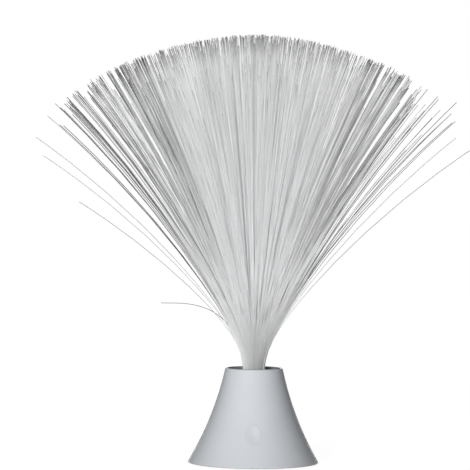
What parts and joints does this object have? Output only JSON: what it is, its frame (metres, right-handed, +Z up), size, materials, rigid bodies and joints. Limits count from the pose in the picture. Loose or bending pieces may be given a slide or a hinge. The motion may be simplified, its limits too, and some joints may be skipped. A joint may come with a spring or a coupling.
{
  "type": "fiber optic lamp",
  "caption": "Battery table lamp: a flared plastic base with a dished push button carries a wide fan of fine clear fibres that light up at their tips.",
  "frame": {"origin": "on the table, under the middle of the base", "axes": "+Z up, the push button on the -Y side, +X to the right of someone who faces the button"},
  "size_m": [0.3498, 0.338, 0.3305],
  "materials": {
    "shell": "satin, pale blue grey",
    "button": "satin, pale blue grey",
    "inner_plastic": "fine matt",
    "sleeve": "satin white",
    "holder": "satin white, reflecting inside",
    "fibre": "clear acrylic fibre, glossy",
    "rubber": "matt",
    "screw_steel": "zinc plated",
    "contact_metal": "nickel plated",
    "cell": null,
    "board": "green laminate",
    "epoxy": "black",
    "plunger": "white",
    "lens": "clear epoxy",
    "resistor": "tan lacquer",
    "red_wire": "vinyl",
    "black_wire": "vinyl",
    "white_wire": "vinyl"
  },
  "bodies": {
    "base": {"base_shell": "shell", "battery_1": "cell", "battery_2": "cell", "battery_3": "cell", "battery_lead_black": "black_wire", "battery_lead_red": "red_wire", "board_screw_1": "screw_steel", "board_screw_2": "screw_steel", "bottom_plate": "inner_plastic", "bundle_sleeve": "sleeve", "circuit_board": "board", "contact_spring_1": "contact_metal", "contact_spring_2": "contact_metal", "contact_spring_3": "contact_metal", "controller_chip": "epoxy", "fibre_spray": "fibre", "foot_1": "rubber", "foot_2": "rubber", "foot_3": "rubber", "foot_4": "rubber", "led": "lens", "led_holder": "holder", "link_plate_left": "contact_metal", "link_plate_right": "contact_metal", "plate_screw_1": "screw_steel", "plate_screw_2": "screw_steel", "plate_screw_3": "screw_steel", "resistor": "resistor", "switch_board": "board", "switch_housing": "epoxy", "switch_lead_1": "white_wire", "switch_lead_2": "white_wire", "switch_screw_1": "screw_steel", "switch_screw_2": "screw_steel", "terminal_negative": "contact_metal", "terminal_positive": "contact_metal"},
    "button": {"button_cap": "button", "switch_plunger": "plunger"},
    "door": {"battery_door": "inner_plastic"}
  },
  "joints": [
    {"name": "button_press", "type": "slide", "parent": "base", "child": "button", "axis": [0, 0.9128, -0.4085], "range_m": [0, 0.0012], "stiffness_N_per_m": 800, "springref_m": -0.0006},
    {"name": "battery_door_tilt", "type": "hinge", "parent": "base", "child": "door", "pos_m": [-0.0265, 0, 0.001], "axis": [0, 1, 0], "range_deg": [0, 90]}
  ]
}
